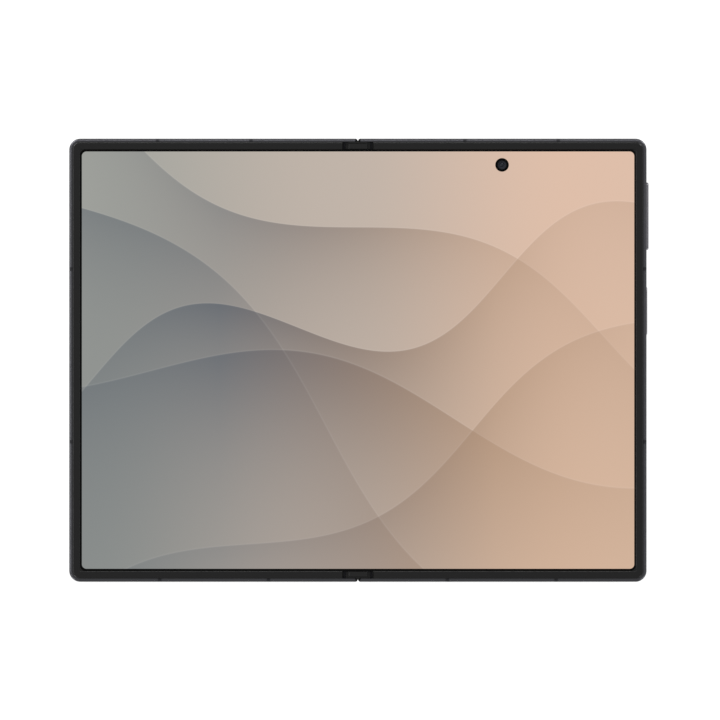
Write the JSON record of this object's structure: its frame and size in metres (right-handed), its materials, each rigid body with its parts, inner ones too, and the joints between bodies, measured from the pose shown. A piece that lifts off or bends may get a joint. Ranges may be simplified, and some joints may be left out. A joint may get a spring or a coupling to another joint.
{
  "type": "foldable smartphone",
  "caption": "Book-style folding phone that opens flat on a geared double-axis hinge to a large inner screen, with a cover screen, rear camera island, side keys and a sliding SIM tray.",
  "frame": {"origin": "under the middle of the opened phone, at the level of the camera bump", "axes": "+X across the hinge towards the half with the keys and rear cameras, +Y along the hinge towards the top edge, +Z out of the inner screen"},
  "size_m": [0.162, 0.1238, 0.0077],
  "materials": {
    "frame_metal": "satin bead-blasted",
    "break_plastic": "satin",
    "rear_glass": "frosted, opaque backing",
    "island_metal": "satin",
    "ring_metal": "turned",
    "lens_glass": "coated, dark behind",
    "camera_black": "matt black",
    "flash_resin": "textured diffuser",
    "bezel_plastic": "matt",
    "display_main": "lit screen behind glass",
    "display_cover": "lit screen behind glass",
    "display_mid": "lit screen behind glass",
    "cover_glass": "polished, dark screen behind",
    "battery_foil": "black wrapped foil",
    "board_green": "solder mask",
    "shield_metal": "tinned",
    "coil_copper": "wound copper",
    "port_steel": "satin",
    "module_black": "moulded",
    "motor_steel": "drawn",
    "flex_amber": "polyimide",
    "screw_steel": "machined",
    "hinge_steel": "ground",
    "gear_bronze": "sintered",
    "spring_steel": "drawn wire",
    "spine_metal": "satin",
    "cap_plastic": "matt",
    "key_metal": "satin",
    "tray_metal": "satin"
  },
  "bodies": {
    "main_half": {"main_frame": "frame_metal", "main_antenna_breaks": "break_plastic", "main_rear_cover": "rear_glass", "camera_island": "island_metal", "camera_lens_rings": "ring_metal", "camera_lens_glasses": "lens_glass", "camera_modules": "camera_black", "flash_lens": "flash_resin", "main_bezel": "bezel_plastic", "inner_camera": "camera_black", "display_main_side": "display_main", "main_battery": "battery_foil", "logic_board": "board_green", "board_shields": "shield_metal", "charging_coil": "coil_copper", "usb_c_port": "port_steel", "loudspeaker": "module_black", "vibration_motor": "motor_steel", "key_switches": "flex_amber", "main_screws": "screw_steel", "main_hinge_arms": "hinge_steel", "main_hinge_shafts": "hinge_steel", "main_shaft_gears": "gear_bronze"},
    "cover_half": {"cover_frame": "frame_metal", "cover_antenna_breaks": "break_plastic", "cover_display_glass": "cover_glass", "cover_display_panel": "module_black", "cover_camera": "camera_black", "cover_bezel": "bezel_plastic", "display_cover_side": "display_cover", "cover_battery": "battery_foil", "sub_board": "board_green", "sim_reader": "shield_metal", "earpiece": "module_black", "cover_screws": "screw_steel", "cover_hinge_arms": "hinge_steel", "cover_hinge_shafts": "hinge_steel", "cover_shaft_gears": "gear_bronze"},
    "hinge_spine": {"spine_cover": "spine_metal", "upper_hinge_bracket": "hinge_steel", "lower_hinge_bracket": "hinge_steel", "hinge_springs": "spring_steel", "friction_plates": "gear_bronze", "hinge_end_caps": "cap_plastic", "display_fold": "display_mid", "hinge_flex_cable": "flex_amber"},
    "main_idlers": {"main_idler_gears": "gear_bronze"},
    "cover_idlers": {"cover_idler_gears": "gear_bronze"},
    "main_wing": {"main_wing_plate": "hinge_steel"},
    "cover_wing": {"cover_wing_plate": "hinge_steel"},
    "volume_rocker": {"volume_rocker": "key_metal"},
    "power_key": {"power_key": "key_metal"},
    "sim_tray": {"sim_tray": "tray_metal"}
  },
  "joints": [
    {"name": "spine_fold", "type": "hinge", "parent": "main_half", "child": "hinge_spine", "pos_m": [0.002, 0, 0.0058], "axis": [0, 1, 0], "range_deg": [0, 90], "deforming": ["display_fold", "hinge_flex_cable"]},
    {"name": "cover_fold", "type": "hinge", "parent": "hinge_spine", "child": "cover_half", "pos_m": [-0.002, 0, 0.0058], "axis": [0, 1, 0], "range_deg": [0, 90], "deforming": ["display_fold", "hinge_flex_cable"]},
    {"name": "main_idler_turn", "type": "hinge", "parent": "hinge_spine", "child": "main_idlers", "pos_m": [0.00067, 0, 0.0058], "axis": [0, 1, 0], "range_deg": [0, 90]},
    {"name": "cover_idler_turn", "type": "hinge", "parent": "hinge_spine", "child": "cover_idlers", "pos_m": [-0.00067, 0, 0.0058], "axis": [0, 1, 0], "range_deg": [-90, 0]},
    {"name": "main_wing_dip", "type": "hinge", "parent": "main_half", "child": "main_wing", "pos_m": [0.009, 0, 0.0065], "axis": [0, -1, 0], "range_deg": [0, 9]},
    {"name": "cover_wing_dip", "type": "hinge", "parent": "cover_half", "child": "cover_wing", "pos_m": [-0.009, 0, 0.0065], "axis": [0, 1, 0], "range_deg": [0, 9]},
    {"name": "volume_press", "type": "hinge", "parent": "main_half", "child": "volume_rocker", "pos_m": [0.07795, 0.0403, 0.00487], "axis": [0, 0, 1], "range_deg": [-1.5, 1.5], "stiffness_Nm_per_rad": 0.5},
    {"name": "power_press", "type": "slide", "parent": "main_half", "child": "power_key", "axis": [-1, 0, 0], "range_m": [0, 0.00018], "stiffness_N_per_m": 800},
    {"name": "tray_slide", "type": "slide", "parent": "cover_half", "child": "sim_tray", "axis": [-1, 0, 0], "range_m": [0, 0.018]}
  ],
  "couplings": [
    {"joint": "cover_fold", "follows": "spine_fold", "ratio": 1},
    {"joint": "main_idler_turn", "follows": "spine_fold", "ratio": 1},
    {"joint": "cover_idler_turn", "follows": "spine_fold", "ratio": -1},
    {"joint": "main_wing_dip", "follows": "spine_fold", "ratio": 0.1},
    {"joint": "cover_wing_dip", "follows": "spine_fold", "ratio": 0.1}
  ]
}
